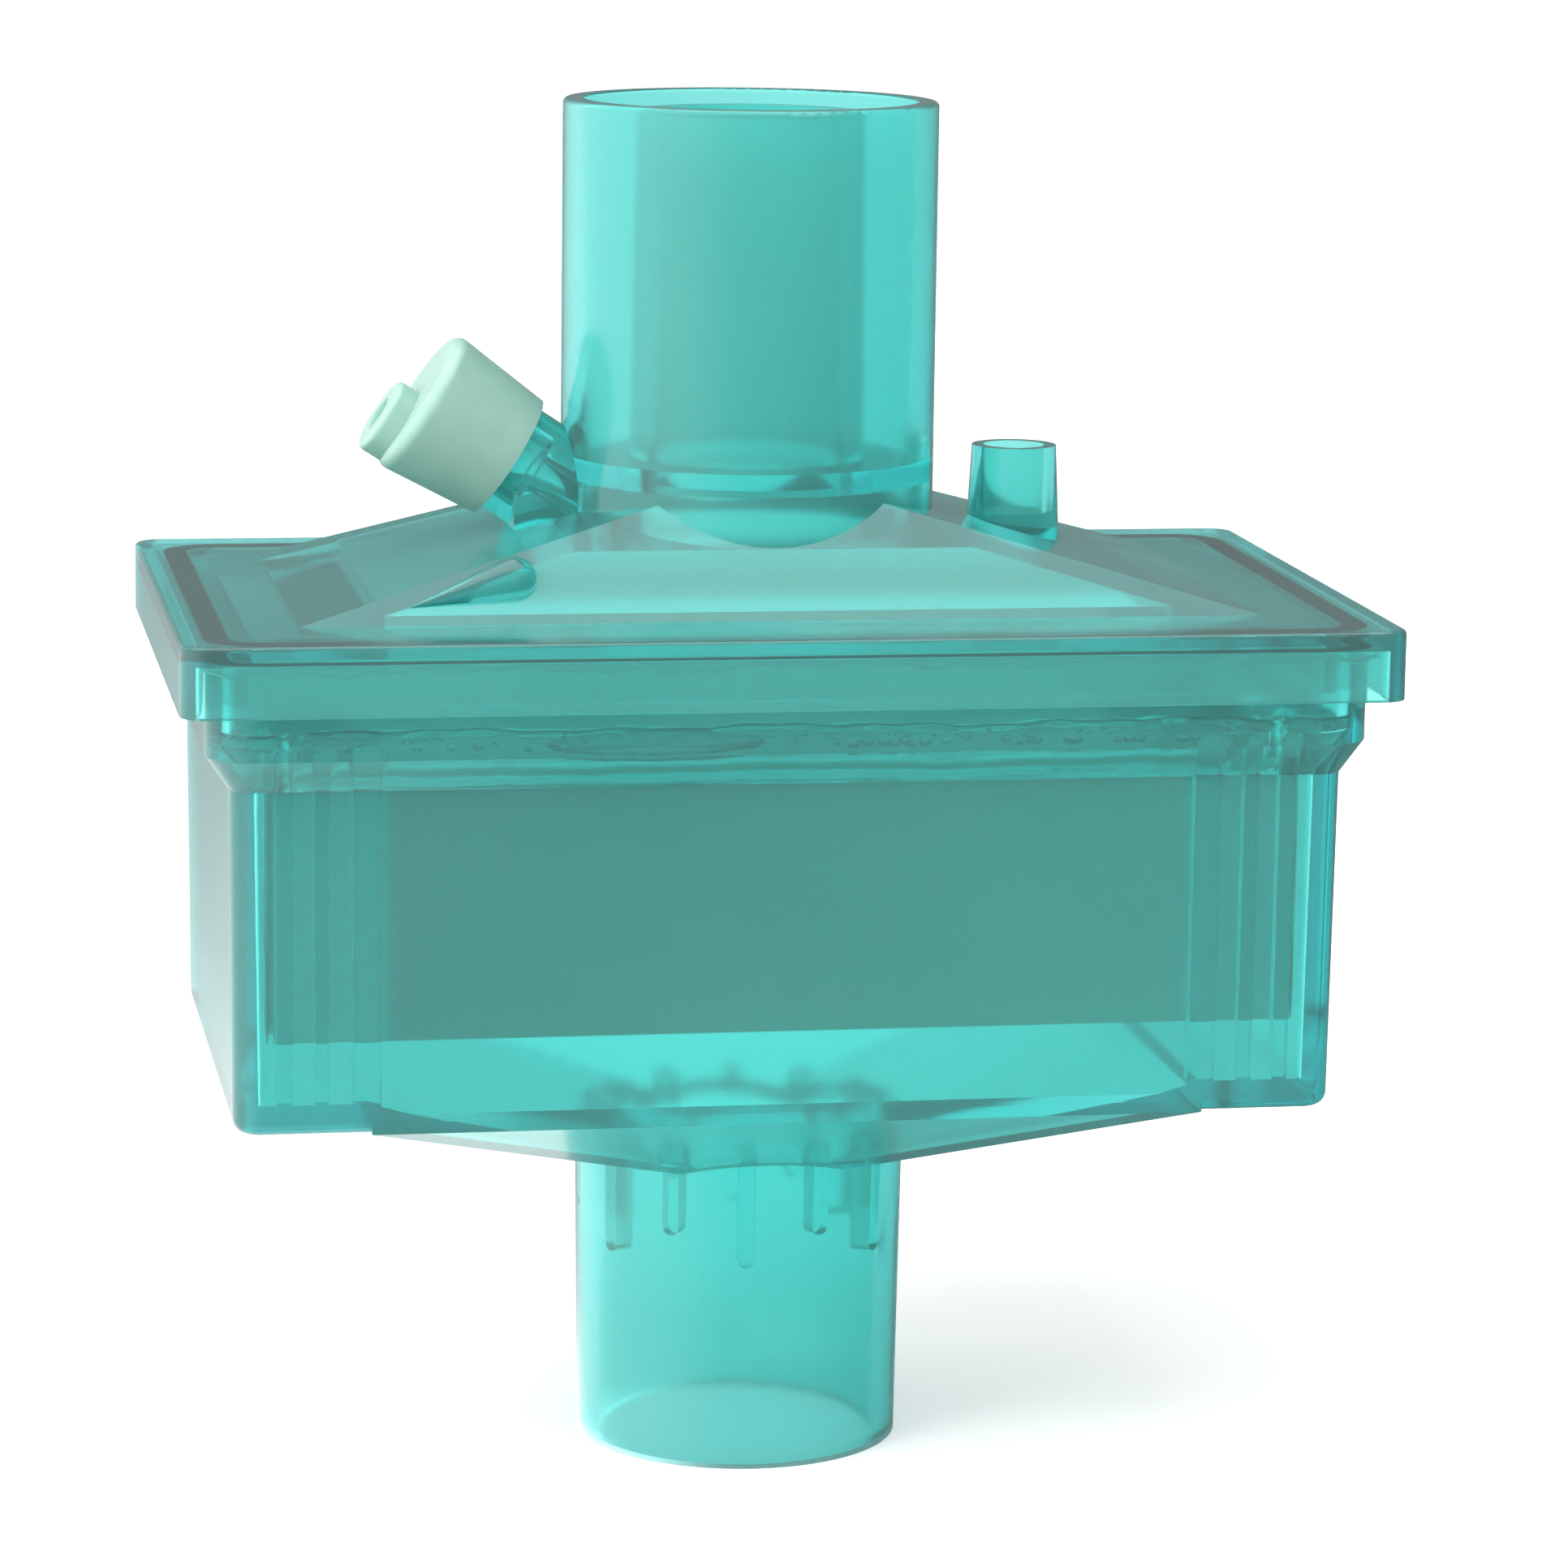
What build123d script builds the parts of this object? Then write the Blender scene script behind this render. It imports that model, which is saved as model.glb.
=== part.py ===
from build123d import *
import math
import os

# A breathing circuit filter: a clear tub and lid with a pleated filter sheet potted between them, a
# 22 mm male port below, a 22 mm socket with a 15 mm cone inside it above, and a capped sampling port.
# Millimetres, +Z up. The origin is the centre of the lower port's end face, on which the part stands.
# X runs along the housing's long side, and the sampling port points towards -X.

# Conical fittings of breathing systems
cone_taper = 1 / 40
lower_cone_end_diameter = 21.9
upper_socket_mouth_diameter = 22.37
inner_cone_end_diameter = 15.2

# Lower port, up to the tub's underside, and the ribs inside it, by how far they reach below that
lower_port_length = 26.4
lower_port_wall = 1.5
stop_rib_count = 12
stop_rib_turn = -6.0
stop_rib_width = 1.1
stop_rib_depth = 0.9
stop_rib_root = 3.2
long_stop_rib_reach = 12.7
short_stop_rib_reach = 10.7

# Tub: lengths run along X and depths along Y
tub_length = 72.2
tub_depth = 42.0
tub_wall_rise = 22.45
tub_draft = 0.2
tub_wall = 1.7
tub_floor = 1.8
tub_corner_radius = 1.8
least_inner_radius = 0.4
tub_base_rounding = 0.9
step_rise = 2.2
step_out = 1.55
flange_wall = 1.6
flange_rise = 6.25
funnel_end_margin = 8.8
funnel_end_slope = 15.7
funnel_side_slope = 28.5

# Ribs inside the tub's front and back walls: how far each is from the end wall's outside, and its width
wall_rib_insets = (8.6, 5.7, 3.3)
wall_rib_widths = (1.8, 0.9, 1.0)
wall_rib_depth = 1.0
wall_rib_over_step = 2.65

# Lid
skirt_gap = 0.55
skirt_wall = 1.2
skirt_drop = 3.2
lid_plate = 1.4
lid_corner_radius = 1.8
lid_edge_rounding = 0.35
lip_wall = 1.2
lip_drop = 3.0
lip_clearance = 0.15
roof_end_margin = 8.1
roof_side_margin = 7.9
roof_end_slope = 15.6
roof_side_slope = 45.4
roof_wall = 1.5

# Upper port: its height is above the lid's flat rim
upper_port_diameter = 25.0
upper_port_rise = 32.5
upper_port_rounding = 0.35
upper_socket_depth = 23.7
socket_floor = 1.5
chamber_wall = 1.5
inner_cone_setback = 0.8
inner_cone_bore = 12.4

# Sampling port: where the cap's open end meets the port's axis, out from the upper port and up
sampling_tilt = 32.8
sampling_reach = 3.7
sampling_rise = 8.75
sampling_boss_diameter = 7.6
sampling_neck_diameter = 6.6
sampling_neck_length = 5.6
sampling_mouth_diameter = 4.3
sampling_taper = 0.06
sampling_socket_depth = 7.5
sampling_bore = 2.2

# Cap, which widens towards its closed end and has a round thumb pad on the low side of that end
cap_mouth_wall = 0.85
cap_flare = 0.7
cap_length = 7.3
cap_bore_clearance = 0.25
cap_rounding = 0.8
cap_pad_diameter = 5.2
cap_pad_offset = 2.2
cap_pad_rise = 1.5
cap_pad_root = 1.2
cap_pad_rounding = 0.4
cap_dimple_diameter = 2.4
cap_dimple_depth = 0.5
cap_plug_length = 4.2
cap_plug_clearance = 0.1

# Parking post, and the drop-shaped boss on the roof's front facet
post_x = 18.3
post_rise = 9.3
post_top_diameter = 5.7
post_base_diameter = 6.4
post_recess_diameter = 4.1
post_recess_depth = 4.5
drop_radius = 1.5
drop_head_x = -17.5
drop_head_rise = 2.55
drop_tail_x = -24.4
drop_tail_rise = 1.0
drop_tail_end_radius = 0.03

# Filter sheet and the adhesive that holds it
sheet_end_gap = 0.2
sheet_side_gap = 0.2
sheet_foot_gap = 3.8
sheet_rim_drop = 0.38
sheet_thickness = 0.6
fold_pitch = 3.0
end_seal_thickness = 0.8
bead_over_step = 1.2
bead_window_margin = 0.9
seat_gap = 0.05


def tan_of(angle):
    return math.tan(math.radians(angle))


def cos_of(angle):
    return math.cos(math.radians(angle))


# Places worked out from the dimensions
cone_growth = cone_taper / 2
lower_cone_radius = lower_cone_end_diameter / 2
lower_bore_radius = lower_cone_radius - lower_port_wall
upper_port_radius = upper_port_diameter / 2
chamber_radius = upper_port_radius - chamber_wall

tub_base_height = lower_port_length
tub_inner_base = tub_base_height + tub_floor
tub_inner_length = tub_length - 2 * tub_wall
tub_inner_depth = tub_depth - 2 * tub_wall
inner_corner_radius = max(tub_corner_radius - tub_wall, least_inner_radius)
step_height = tub_base_height + tub_wall_rise
step_top_height = step_height + step_rise
flange_length = tub_length + 2 * (tub_draft + step_out)
flange_depth = tub_depth + 2 * (tub_draft + step_out)
flange_inner_length = flange_length - 2 * flange_wall
flange_inner_depth = flange_depth - 2 * flange_wall
flange_top_height = step_top_height + flange_rise
step_lean = math.atan2(step_out, step_rise)
inner_step_spread = step_out + tub_wall - flange_wall
inner_step_low = step_height + tub_wall * math.tan(step_lean / 2)
inner_step_high = inner_step_low + inner_step_spread / math.tan(step_lean)
inner_flange_radius = inner_corner_radius + inner_step_spread
funnel_length = tub_length - 2 * funnel_end_margin
wall_rib_face = tub_inner_depth / 2 - wall_rib_depth
wall_rib_top = step_height + wall_rib_over_step

lid_length = flange_length + 2 * (skirt_gap + skirt_wall)
lid_depth = flange_depth + 2 * (skirt_gap + skirt_wall)
lid_top_height = flange_top_height + lid_plate
roof_length = lid_length - 2 * roof_end_margin
roof_depth = lid_depth - 2 * roof_side_margin
upper_port_height = lid_top_height + upper_port_rise
socket_floor_height = upper_port_height - upper_socket_depth
chamber_top = socket_floor_height - socket_floor

cap_base_x = -(upper_port_radius + sampling_reach)
cap_base_height = lid_top_height + sampling_rise
cap_bore_radius = sampling_neck_diameter / 2 + cap_bore_clearance
cap_mouth_radius = cap_bore_radius + cap_mouth_wall
cap_end_radius = cap_mouth_radius + cap_flare
sampling_axis = Vector(-cos_of(sampling_tilt), 0, math.sin(math.radians(sampling_tilt)))
sampling_place = Plane(origin=(cap_base_x, 0, cap_base_height), x_dir=(0, 1, 0), z_dir=sampling_axis)

sheet_length = tub_inner_length - 2 * (end_seal_thickness + sheet_end_gap)
sheet_depth = 2 * (wall_rib_face - sheet_side_gap)
sheet_base_height = tub_inner_base + sheet_foot_gap
sheet_top_height = inner_step_low - sheet_rim_drop
bead_top_height = inner_step_high + bead_over_step


# Shapes that several pieces use
def rounded_block(length, depth, radius, low, high, spread=0.0):
    """A block with round upright corners whose sides move out by spread from its foot to its top."""
    foot = Pos(0, 0, low) * RectangleRounded(length, depth, radius)
    lean = -math.degrees(math.atan2(spread, high - low))
    return extrude(foot, amount=high - low, taper=lean)


def cone_along_z(low_radius, high_radius, low, high):
    """A round bar or cone on the Z axis between two heights."""
    if low_radius == high_radius:
        bar = Cylinder(low_radius, high - low)
    else:
        bar = Cone(low_radius, high_radius, high - low)
    return Pos(0, 0, (low + high) / 2) * bar


def trapezoid(half_low, half_high, low, high):
    corners = [(-half_low, low), (half_low, low), (half_high, high), (-half_high, high)]
    return make_face(Polyline(*corners, close=True))


def hipped_block(half_x, half_y, slope_x, slope_y, base, reach):
    """A hipped block: a rectangle at base whose four sides lean in until it has moved by reach in Z."""
    top_x = half_x - abs(reach) / tan_of(slope_x)
    top_y = half_y - abs(reach) / tan_of(slope_y)
    ends = Plane.XZ * trapezoid(half_x, top_x, base, base + reach)
    sides = Plane.YZ * trapezoid(half_y, top_y, base, base + reach)
    return extrude(ends, amount=half_y, both=True) & extrude(sides, amount=half_x, both=True)


def hip_reach(half_x, half_y, slope_x, slope_y, radius):
    """How far a hipped block rises before its hips come to the radius of an upright tube."""
    run_x = 1 / tan_of(slope_x)
    run_y = 1 / tan_of(slope_y)
    a = run_x ** 2 + run_y ** 2
    b = half_x * run_x + half_y * run_y
    c = half_x ** 2 + half_y ** 2 - radius ** 2
    return (b - math.sqrt(b ** 2 - a * c)) / a


# Tub with its funnel and lower port
def funnel_solid(shrink, base):
    """The funnel's outside, or its inside when its planes are moved in by shrink."""
    lift = base - tub_base_height
    half_x = funnel_length / 2 + (lift - shrink / cos_of(funnel_end_slope)) / tan_of(funnel_end_slope)
    half_y = tub_depth / 2 + (lift - shrink / cos_of(funnel_side_slope)) / tan_of(funnel_side_slope)
    radius = lower_bore_radius if shrink else lower_cone_radius
    drop = hip_reach(half_x, half_y, funnel_end_slope, funnel_side_slope, radius)
    return hipped_block(half_x, half_y, funnel_end_slope, funnel_side_slope, base, -drop)


def upright_rib(width, low, high, round_low, thickness):
    """A rib seen from the front as a strip from low to high with one round end, grown towards +Y."""
    radius = width / 2
    strip_low = low + radius if round_low else low
    strip_high = high if round_low else high - radius
    outline = Pos(0, (strip_low + strip_high) / 2) * Rectangle(width, strip_high - strip_low)
    outline += Pos(0, strip_low if round_low else strip_high) * Circle(radius)
    return extrude(Plane.XZ * outline, amount=-thickness)


def stop_rib(index):
    """One rib on the lower port's bore: the ribs are long and short by turns."""
    reach = long_stop_rib_reach if index % 2 == 0 else short_stop_rib_reach
    rib = upright_rib(stop_rib_width, tub_base_height - reach, tub_base_height - stop_rib_root, True,
                      stop_rib_depth + lower_port_wall / 2)
    rib = Pos(0, lower_bore_radius - stop_rib_depth, 0) * rib
    return Rot(0, 0, 180 + stop_rib_turn + index * 360 / stop_rib_count) * rib


def wall_rib(place, width):
    """One upright rib with a round top on the inside of the back wall."""
    rib = upright_rib(width, tub_inner_base - tub_floor / 3, wall_rib_top, False,
                      wall_rib_depth + tub_wall / 2)
    return Pos(place, wall_rib_face, 0) * rib


def rib_places():
    """The place along X and the width of each rib of one wall."""
    places = []
    for inset, width in zip(wall_rib_insets, wall_rib_widths):
        places += [(tub_length / 2 - inset, width), (inset - tub_length / 2, width)]
    return places


def make_lower_housing():
    tub = rounded_block(tub_length, tub_depth, tub_corner_radius, tub_base_height, step_height, tub_draft)
    tub = fillet(tub.faces().sort_by(Axis.Z)[0].edges(), tub_base_rounding)
    tub += rounded_block(tub_length + 2 * tub_draft, tub_depth + 2 * tub_draft,
                         tub_corner_radius, step_height, step_top_height, step_out)
    tub += rounded_block(flange_length, flange_depth, tub_corner_radius + step_out,
                         step_top_height, flange_top_height)
    tub += Pos(0, 0, tub_base_height) * Box(funnel_length, tub_depth, tub_floor,
                                            align=(Align.CENTER, Align.CENTER, Align.MIN))
    tub += funnel_solid(0, tub_base_height)
    tub += cone_along_z(lower_cone_radius, lower_cone_radius + tub_base_height * cone_growth,
                        0, tub_base_height)

    room = rounded_block(tub_inner_length, tub_inner_depth, inner_corner_radius,
                         tub_inner_base, inner_step_low, tub_draft)
    room += rounded_block(tub_inner_length + 2 * tub_draft, tub_inner_depth + 2 * tub_draft,
                          inner_corner_radius, inner_step_low, inner_step_high, inner_step_spread)
    room += rounded_block(flange_inner_length, flange_inner_depth, inner_flange_radius,
                          inner_step_high, flange_top_height)
    well = funnel_solid(tub_wall, tub_inner_base)
    well &= Pos(0, 0, tub_inner_base) * Box(tub_inner_length, tub_inner_depth, 2 * tub_inner_base)
    bore = cone_along_z(lower_bore_radius, lower_bore_radius + tub_inner_base * cone_growth,
                        0, tub_inner_base)
    tub = tub - room - well - bore
    for index in range(stop_rib_count):
        tub += stop_rib(index)
    for place, width in rib_places():
        rib = wall_rib(place, width)
        tub += rib
        tub += mirror(rib, about=Plane.XZ)
    return tub


# Lid with its hipped roof, upper port, sampling port and parking post
def roof_solid(shrink):
    """The roof's outside, or its inside when its planes are moved in by shrink. The inside goes straight
    down through the lid's plate, and has a flat ceiling where its front and back meet the chamber."""
    half_x = roof_length / 2 - shrink / math.sin(math.radians(roof_end_slope))
    half_y = roof_depth / 2 - shrink / math.sin(math.radians(roof_side_slope))
    if shrink:
        rise = (half_y - chamber_radius) * tan_of(roof_side_slope)
    else:
        rise = hip_reach(half_x, half_y, roof_end_slope, roof_side_slope, upper_port_radius)
    roof = hipped_block(half_x, half_y, roof_end_slope, roof_side_slope, lid_top_height, rise)
    if shrink:
        roof += Pos(0, 0, lid_top_height) * Box(2 * half_x, 2 * half_y, lid_plate,
                                                align=(Align.CENTER, Align.CENTER, Align.MAX))
    return roof


def roof_height_at(x):
    return lid_top_height + (roof_length / 2 - abs(x)) * tan_of(roof_end_slope)


def sampling_boss():
    """The sampling port's outside: a boss from the upper port, a slimmer neck, and a pillar below."""
    root = -sampling_reach / cos_of(sampling_tilt) - chamber_wall
    boss_radius = sampling_boss_diameter / 2
    neck_radius = sampling_neck_diameter / 2
    boss = cone_along_z(boss_radius, boss_radius, root, 0)
    boss += cone_along_z(neck_radius, neck_radius, 0, sampling_neck_length)
    pillar_back = upper_port_radius - chamber_wall / 2
    pillar_low = roof_height_at(cap_base_x) - roof_wall / 2
    pillar_high = cap_base_height - boss_radius / 2
    pillar = Pos(-pillar_back, 0, pillar_low) * Box(
        abs(cap_base_x) - pillar_back, sampling_boss_diameter, pillar_high - pillar_low,
        align=(Align.MAX, Align.CENTER, Align.MIN))
    room = 4 * sampling_boss_diameter
    behind_cap = Pos(0, 0, -room / 2) * Box(room, room, room)
    return sampling_place * boss + (pillar & sampling_place * behind_cap)


def sampling_passage():
    """The sampling port's tapered mouth and the small bore into the chamber under the upper port."""
    mouth = sampling_mouth_diameter / 2
    throat = mouth - sampling_socket_depth * sampling_taper / 2
    throat_place = sampling_neck_length - sampling_socket_depth
    inner_end = -sampling_reach / cos_of(sampling_tilt) - 2 * chamber_wall
    passage = cone_along_z(throat, mouth, throat_place, sampling_neck_length)
    passage += cone_along_z(sampling_bore / 2, sampling_bore / 2, inner_end, throat_place)
    return sampling_place * passage


def parking_post():
    low = roof_height_at(post_x + post_base_diameter / 2) - roof_wall / 2
    high = lid_top_height + post_rise
    return Pos(post_x, 0, 0) * cone_along_z(post_base_diameter / 2, post_top_diameter / 2, low, high)


def parking_recess():
    high = lid_top_height + post_rise
    radius = post_recess_diameter / 2
    return Pos(post_x, 0, 0) * cone_along_z(radius, radius, high - post_recess_depth, high)


def on_front_facet(x, rise):
    """The point of the roof's front facet at a place along X and a rise above the lid's rim."""
    return Vector(x, rise / tan_of(roof_side_slope) - roof_depth / 2, lid_top_height + rise)


def drop_boss():
    """A drop-shaped boss on the roof's front facet: a ball with a tail that lies along the hip."""
    head = on_front_facet(drop_head_x, drop_head_rise)
    tail = on_front_facet(drop_tail_x, drop_tail_rise) - head
    lean = math.asin(drop_radius / tail.length)
    cone = cone_along_z(drop_radius * math.cos(lean), drop_tail_end_radius,
                        drop_radius * math.sin(lean), tail.length)
    return Plane(origin=head, z_dir=tail) * (Sphere(drop_radius) + cone)


def make_upper_housing():
    skirt_low = flange_top_height - skirt_drop
    lip_low = flange_top_height - lip_drop
    lid = rounded_block(lid_length, lid_depth, lid_corner_radius, skirt_low, lid_top_height)
    lid = fillet(lid.faces().sort_by(Axis.Z)[-1].edges(), lid_edge_rounding)
    lid -= rounded_block(lid_length - 2 * skirt_wall, lid_depth - 2 * skirt_wall,
                         max(lid_corner_radius - skirt_wall, least_inner_radius),
                         skirt_low, flange_top_height)
    lip_length = flange_inner_length - 2 * lip_clearance
    lip_depth = flange_inner_depth - 2 * lip_clearance
    lid += rounded_block(lip_length, lip_depth, inner_flange_radius, lip_low, flange_top_height)
    lid -= rounded_block(lip_length - 2 * lip_wall, lip_depth - 2 * lip_wall,
                         max(inner_flange_radius - lip_wall, least_inner_radius),
                         lip_low, flange_top_height)
    lid += roof_solid(0)
    tube = cone_along_z(upper_port_radius, upper_port_radius, lid_top_height, upper_port_height)
    lid += fillet(tube.edges().sort_by(Axis.Z)[-1], upper_port_rounding)
    lid += sampling_boss()
    lid += parking_post()
    lid += drop_boss()

    mouth_radius = upper_socket_mouth_diameter / 2
    socket = cone_along_z(mouth_radius - upper_socket_depth * cone_growth, mouth_radius,
                          socket_floor_height, upper_port_height)
    chamber = cone_along_z(chamber_radius, chamber_radius, flange_top_height, chamber_top)
    lid = lid - roof_solid(roof_wall) - chamber - socket - parking_recess()
    tip = upper_port_height - inner_cone_setback
    tip_radius = inner_cone_end_diameter / 2
    root_radius = tip_radius + (tip - chamber_top) * cone_growth
    lid += cone_along_z(root_radius, tip_radius, chamber_top, tip)
    lid -= cone_along_z(inner_cone_bore / 2, inner_cone_bore / 2, chamber_top, tip)
    return lid - sampling_passage()


# Cap of the sampling port, drawn along its own axis and then put on the port
def make_luer_cap():
    low = seat_gap
    high = low + cap_length
    inside = sampling_neck_length + seat_gap
    pad_radius = cap_pad_diameter / 2
    pad_top = high + cap_pad_rise
    dimple_radius = cap_dimple_diameter / 2
    body = cone_along_z(cap_mouth_radius, cap_end_radius, low, high)
    body = fillet(body.edges().sort_by(Axis.Z)[-1], cap_rounding)
    pad = cone_along_z(pad_radius, pad_radius, high - cap_pad_root, pad_top)
    pad = fillet(pad.edges().sort_by(Axis.Z)[-1], cap_pad_rounding)
    body += Pos(0, cap_pad_offset, 0) * pad
    body -= Pos(0, cap_pad_offset, 0) * cone_along_z(dimple_radius, dimple_radius,
                                                     pad_top - cap_dimple_depth, pad_top)
    body -= cone_along_z(cap_bore_radius, cap_bore_radius, low, inside)
    plug_root = sampling_mouth_diameter / 2 - cap_plug_clearance
    plug_tip = plug_root - cap_plug_length * sampling_taper / 2
    body += cone_along_z(plug_tip, plug_root, inside - cap_plug_length, inside)
    return sampling_place * body


# Filter sheet, its end seals and its potting
def make_filter_media():
    """A sheet folded to and fro: flat legs in X and Z, joined by half rings at the top and bottom."""
    folds = 2 * round((sheet_depth - sheet_thickness) / fold_pitch)
    spacing = (sheet_depth - sheet_thickness) / folds
    outer = (spacing + sheet_thickness) / 2
    inner = (spacing - sheet_thickness) / 2
    leg_low = sheet_base_height + outer
    leg_high = sheet_top_height - outer
    ring = Circle(outer) - Circle(inner)
    upper_half = ring & (Pos(0, outer) * Rectangle(2 * outer, 2 * outer))
    lower_half = ring & (Pos(0, -outer) * Rectangle(2 * outer, 2 * outer))
    first = (sheet_thickness - sheet_depth) / 2
    pieces = []
    for index in range(folds + 1):
        place = first + index * spacing
        low = sheet_base_height if index in (0, folds) else leg_low
        pieces.append(Pos(place, (low + leg_high) / 2) * Rectangle(sheet_thickness, leg_high - low))
    for index in range(folds):
        middle = first + (index + 0.5) * spacing
        half, height = (upper_half, leg_high) if index % 2 == 0 else (lower_half, leg_low)
        pieces.append(Pos(middle, height) * half)
    profile = Sketch() + pieces
    return extrude(Plane.YZ * profile, amount=sheet_length / 2, both=True)


def make_end_seal(side):
    place = side * (sheet_length + end_seal_thickness) / 2
    height = sheet_top_height - sheet_base_height
    return Pos(place, 0, sheet_base_height + height / 2) * Box(end_seal_thickness, sheet_depth, height)


def rib_room(place, width):
    """The space that the potting leaves for one rib of the back wall."""
    far = tub_depth / 2
    near = wall_rib_face - seat_gap
    high = wall_rib_top + seat_gap
    return Pos(place, (near + far) / 2, (sheet_top_height + high) / 2) * Box(
        width + 2 * seat_gap, far - near, high - sheet_top_height)


def make_seal_bead():
    """The potting: it lies on the sheet's rim, fills the tub's step and rises a little above it."""
    low = sheet_top_height + seat_gap
    foot_length = tub_inner_length + 2 * (tub_draft - seat_gap)
    foot_depth = tub_inner_depth + 2 * (tub_draft - seat_gap)
    bead = rounded_block(foot_length, foot_depth, inner_corner_radius, low, inner_step_low)
    bead += rounded_block(foot_length, foot_depth, inner_corner_radius, inner_step_low,
                          inner_step_high, inner_step_spread)
    bead += rounded_block(flange_inner_length - 2 * seat_gap, flange_inner_depth - 2 * seat_gap,
                          inner_flange_radius, inner_step_high, bead_top_height)
    bead -= rounded_block(sheet_length - 2 * bead_window_margin, sheet_depth - 2 * bead_window_margin,
                          tub_corner_radius, low, bead_top_height)
    for place, width in rib_places():
        space = rib_room(place, width)
        bead -= space
        bead -= mirror(space, about=Plane.XZ)
    return bead


os.makedirs("parts", exist_ok=True)
nodes = {
    "lower_housing": make_lower_housing(),
    "upper_housing": make_upper_housing(),
    "luer_cap": make_luer_cap(),
    "filter_media": make_filter_media(),
    "end_seal_left": make_end_seal(-1),
    "end_seal_right": make_end_seal(1),
    "seal_bead": make_seal_bead(),
}
for name, shape in nodes.items():
    export_step(shape, f"parts/{name}.step")
    print(name, "solids", len(shape.solids()), "volume", round(shape.volume, 1))
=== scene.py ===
# %% [markdown]
# A breathing circuit filter, as a lesson in cells. It is a clear turquoise box of moulded styrene with a
# pleated sheet of filter paper inside, a cone port below, a double port above, and a small capped port for
# gas samples. The construction comes in as a fixed frame in metres. This script gives the frame its
# finishes and makes the pieces that are too soft or too uneven for it: the poured adhesive with its
# bubbles, the paper's folds, the glue on the paper's ends and the flash of the welded lid.

# %% Frame and first values
import math

import bpy
import numpy as np
from mathutils import Matrix, Vector


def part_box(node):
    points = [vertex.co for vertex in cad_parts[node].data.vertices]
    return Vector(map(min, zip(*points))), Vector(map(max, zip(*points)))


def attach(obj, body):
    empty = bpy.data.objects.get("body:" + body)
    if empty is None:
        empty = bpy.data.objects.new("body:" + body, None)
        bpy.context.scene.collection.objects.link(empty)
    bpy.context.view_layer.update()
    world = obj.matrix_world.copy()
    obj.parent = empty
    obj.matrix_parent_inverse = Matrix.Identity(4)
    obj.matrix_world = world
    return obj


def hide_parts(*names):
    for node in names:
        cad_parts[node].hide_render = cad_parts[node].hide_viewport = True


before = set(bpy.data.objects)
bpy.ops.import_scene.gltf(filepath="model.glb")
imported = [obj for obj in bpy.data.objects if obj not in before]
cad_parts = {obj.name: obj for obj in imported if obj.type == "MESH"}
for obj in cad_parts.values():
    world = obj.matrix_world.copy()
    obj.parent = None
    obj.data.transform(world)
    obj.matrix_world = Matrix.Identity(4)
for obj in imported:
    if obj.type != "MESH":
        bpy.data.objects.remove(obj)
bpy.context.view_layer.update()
MM = 0.001
print("nodes of the frame:", sorted(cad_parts))

# %% [markdown]
# Two helpers serve every material. A colour is written as the sRGB hex value that a colour picker shows,
# but shaders compute in linear light, so one function turns the one into the other. A second function adds
# a node with its settings, its values and its incoming links in one call, which keeps each material short
# enough to read from top to bottom.

# %% Helpers for materials


def linear(hex_colour):
    """An sRGB hex colour as linear red, green, blue and alpha."""
    parts = [int(hex_colour[i:i + 2], 16) / 255 for i in (0, 2, 4)]
    return [p / 12.92 if p <= 0.04045 else ((p + 0.055) / 1.055) ** 2.4 for p in parts] + [1.0]


def add_node(tree, kind, values=None, links=None, **options):
    """Adds one node: options are its own settings, values its socket values, links its incoming sockets."""
    node = tree.nodes.new(kind)
    for name, value in options.items():
        setattr(node, name, value)
    for socket, value in (values or {}).items():
        node.inputs[socket].default_value = value
    for socket, (source, output) in (links or {}).items():
        tree.links.new(source.outputs[output], node.inputs[socket])
    return node


def new_material(name):
    """An empty node material and its tree."""
    material = bpy.data.materials.new(name)
    material.use_nodes = True
    material.node_tree.nodes.clear()
    return material, material.node_tree


print("a mid grey of 808080 is", round(linear("808080")[0], 3), "in linear light")

# %% [markdown]
# The camera stands where the photograph was taken from: a long lens a little to the left, looking down by
# ten degrees. Its place and its three angles came from fitting about thirty points of the object, so it is
# built from those angles rather than aimed at a point, which would lose the small roll.

# %% Camera
CAMERA_PLACE_MM = (-62.953, -376.498, 115.463)
CAMERA_YAW, CAMERA_PITCH, CAMERA_ROLL = -9.912, -10.463, 0.793
CAMERA_LENS_MM = 131.33


def camera_axes(yaw, pitch, roll):
    """The camera's right, up and view directions from its yaw, pitch and roll in degrees."""
    yaw, pitch, roll = (math.radians(a) for a in (yaw, pitch, roll))
    ahead = Vector((-math.sin(yaw) * math.cos(pitch), math.cos(yaw) * math.cos(pitch), math.sin(pitch)))
    level = Vector((math.cos(yaw), math.sin(yaw), 0))
    above = level.cross(ahead)
    to_right = math.cos(roll) * level + math.sin(roll) * above
    upwards = math.cos(roll) * above - math.sin(roll) * level
    return to_right, upwards, ahead


right, up, view = camera_axes(CAMERA_YAW, CAMERA_PITCH, CAMERA_ROLL)
camera_data = bpy.data.cameras.new("camera")
camera_data.lens = CAMERA_LENS_MM
camera_data.sensor_width = 36
camera = bpy.data.objects.new("camera", camera_data)
turn = Matrix((right, up, -view)).transposed().to_4x4()
camera.matrix_world = Matrix.Translation(Vector(CAMERA_PLACE_MM) * MM) @ turn
bpy.context.scene.collection.objects.link(camera)
bpy.context.scene.camera = camera
bpy.context.scene.view_settings.view_transform = "Standard"
print("camera at", [round(v, 4) for v in camera.location], "lens", CAMERA_LENS_MM, "mm")

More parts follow.
